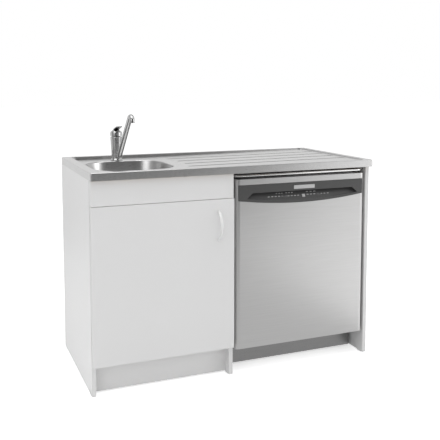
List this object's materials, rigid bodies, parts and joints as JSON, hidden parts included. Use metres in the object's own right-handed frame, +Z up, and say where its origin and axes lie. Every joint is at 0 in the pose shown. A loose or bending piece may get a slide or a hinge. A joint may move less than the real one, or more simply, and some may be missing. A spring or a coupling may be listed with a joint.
{
  "type": "dishwasher housing unit",
  "caption": "Kitchen sink unit with a hinged cupboard on the left, a bay that houses a drop-door dishwasher on the right, and a steel sink top with bowl, drainer and lever mixer tap",
  "frame": {"origin": "on the floor, in the middle of the overall width and depth", "axes": "+X along the front to the dishwasher's side, +Y back to the wall, +Z up; the doors face -Y"},
  "size_m": [1.2, 0.623, 1.0455],
  "materials": {
    "white_board": "white melamine-faced chipboard, satin",
    "plinth_white": "white melamine-faced plinth",
    "hardboard": "thin white-faced hardboard",
    "timber": "planed softwood",
    "handle_finish": "white lacquered metal",
    "zinc_steel": "zinc plated steel",
    "white_plastic": "white moulded plastic",
    "sink_steel": "pressed stainless steel, silk polish",
    "tap_chrome": "polished chrome plate",
    "cartridge_plastic": "white engineering plastic",
    "door_steel": "brushed stainless sheet",
    "tub_steel": "bright rolled stainless sheet",
    "kick_steel": "stainless sheet in shade",
    "console_plastic": "dark grey moulding, semi gloss",
    "key_plastic": "dark grey keys",
    "bright_trim": "satin bright trim",
    "board_green": "fibreglass board",
    "grey_plastic": "grey moulded plastic",
    "rack_coating": "grey nylon coated wire",
    "seal_rubber": "black rubber seal"
  },
  "bodies": {
    "carcase": {"left_side_panel": "white_board", "centre_panel": "white_board", "right_side_panel": "white_board", "cupboard_floor": "white_board", "front_rail": "white_board", "rear_rails": "white_board", "fascia_panel": "white_board", "plinth_board": "plinth_white", "back_panel": "hardboard", "sink_frame": "timber", "hinge_arms": "zinc_steel", "door_hinge_brackets": "zinc_steel", "dishwasher_casing": "zinc_steel", "dishwasher_feet": "zinc_steel", "tap_fixing": "zinc_steel", "panel_glides": "white_plastic", "corner_blocks": "white_plastic", "waste_body": "white_plastic", "bottle_trap": "white_plastic", "rack_wheels": "white_plastic", "rack_rails": "white_plastic", "sink_top": "sink_steel", "waste_flange": "sink_steel", "tap_base": "tap_chrome", "tap_body": "tap_chrome", "tap_cartridge": "cartridge_plastic", "dishwasher_top_trim": "door_steel", "dishwasher_tub": "tub_steel", "tub_filter": "tub_steel", "dishwasher_kick_plate": "kick_steel", "dishwasher_base": "grey_plastic", "sump": "grey_plastic", "wash_pump": "grey_plastic", "cutlery_basket": "grey_plastic", "lower_rack": "rack_coating", "upper_rack": "rack_coating", "tub_seal": "seal_rubber"},
    "cupboard_door_leaf": {"cupboard_door": "white_board", "door_handle": "handle_finish", "handle_screws": "zinc_steel", "hinge_cups": "zinc_steel"},
    "dishwasher_door_leaf": {"dishwasher_door_skin": "door_steel", "dishwasher_door_liner": "tub_steel", "dishwasher_console": "console_plastic", "console_plate": "bright_trim", "control_board": "board_green", "dispenser_body": "grey_plastic", "door_hinge_arms": "zinc_steel"},
    "left_key_body": {"key_left": "key_plastic"},
    "right_key_body": {"key_right": "key_plastic"},
    "power_button_body": {"power_button": "bright_trim"},
    "detergent_lid": {"dispenser_lid": "grey_plastic"},
    "spout_body": {"tap_spout": "tap_chrome", "spout_aerator": "tap_chrome"},
    "turntable_body": {"cartridge_turntable": "cartridge_plastic"},
    "lever_body": {"tap_lever": "tap_chrome", "lever_screw_cover": "tap_chrome"},
    "strainer_body": {"strainer_basket": "sink_steel"},
    "lower_arm_body": {"lower_spray_arm": "grey_plastic"},
    "upper_arm_body": {"upper_spray_arm": "grey_plastic"}
  },
  "joints": [
    {"name": "cupboard_door_hinge", "type": "hinge", "parent": "carcase", "child": "cupboard_door_leaf", "pos_m": [-0.598, -0.2765, 0.42], "axis": [0, 0, -1], "range_deg": [0, 110]},
    {"name": "dishwasher_door_hinge", "type": "hinge", "parent": "carcase", "child": "dishwasher_door_leaf", "pos_m": [0.277, -0.2385, 0.112], "axis": [1, 0, 0], "range_deg": [0, 90]},
    {"name": "spout_swivel", "type": "hinge", "parent": "carcase", "child": "spout_body", "pos_m": [-0.386, 0.1885, 0.862], "axis": [0, 0, 1], "range_deg": [-70, 70]},
    {"name": "lever_turn", "type": "hinge", "parent": "carcase", "child": "turntable_body", "pos_m": [-0.386, 0.1885, 0.933], "axis": [0, 0, 1], "range_deg": [-45, 45]},
    {"name": "lever_lift", "type": "hinge", "parent": "turntable_body", "child": "lever_body", "pos_m": [-0.386, 0.1885, 0.933], "axis": [-1, 0, 0], "range_deg": [0, 20]},
    {"name": "strainer_lift", "type": "slide", "parent": "carcase", "child": "strainer_body", "axis": [0, 0, 1], "range_m": [0, 0.12]},
    {"name": "lower_arm_spin", "type": "hinge", "parent": "carcase", "child": "lower_arm_body", "pos_m": [0.277, 0.0225, 0.138], "axis": [0, 0, 1], "continuous": true},
    {"name": "upper_arm_spin", "type": "hinge", "parent": "carcase", "child": "upper_arm_body", "pos_m": [0.277, 0.0225, 0.446], "axis": [0, 0, 1], "continuous": true},
    {"name": "detergent_lid_slide", "type": "slide", "parent": "dishwasher_door_leaf", "child": "detergent_lid", "axis": [1, 0, 0], "range_m": [0, 0.066]},
    {"name": "power_button_press", "type": "slide", "parent": "dishwasher_door_leaf", "child": "power_button_body", "axis": [0, 0.8654, -0.501], "range_m": [0, 0.0015], "stiffness_N_per_m": 400},
    {"name": "left_key_press", "type": "slide", "parent": "dishwasher_door_leaf", "child": "left_key_body", "axis": [0, 0.8654, -0.501], "range_m": [0, 0.0015], "stiffness_N_per_m": 400},
    {"name": "right_key_press", "type": "slide", "parent": "dishwasher_door_leaf", "child": "right_key_body", "axis": [0, 0.8654, -0.501], "range_m": [0, 0.0015], "stiffness_N_per_m": 400}
  ]
}
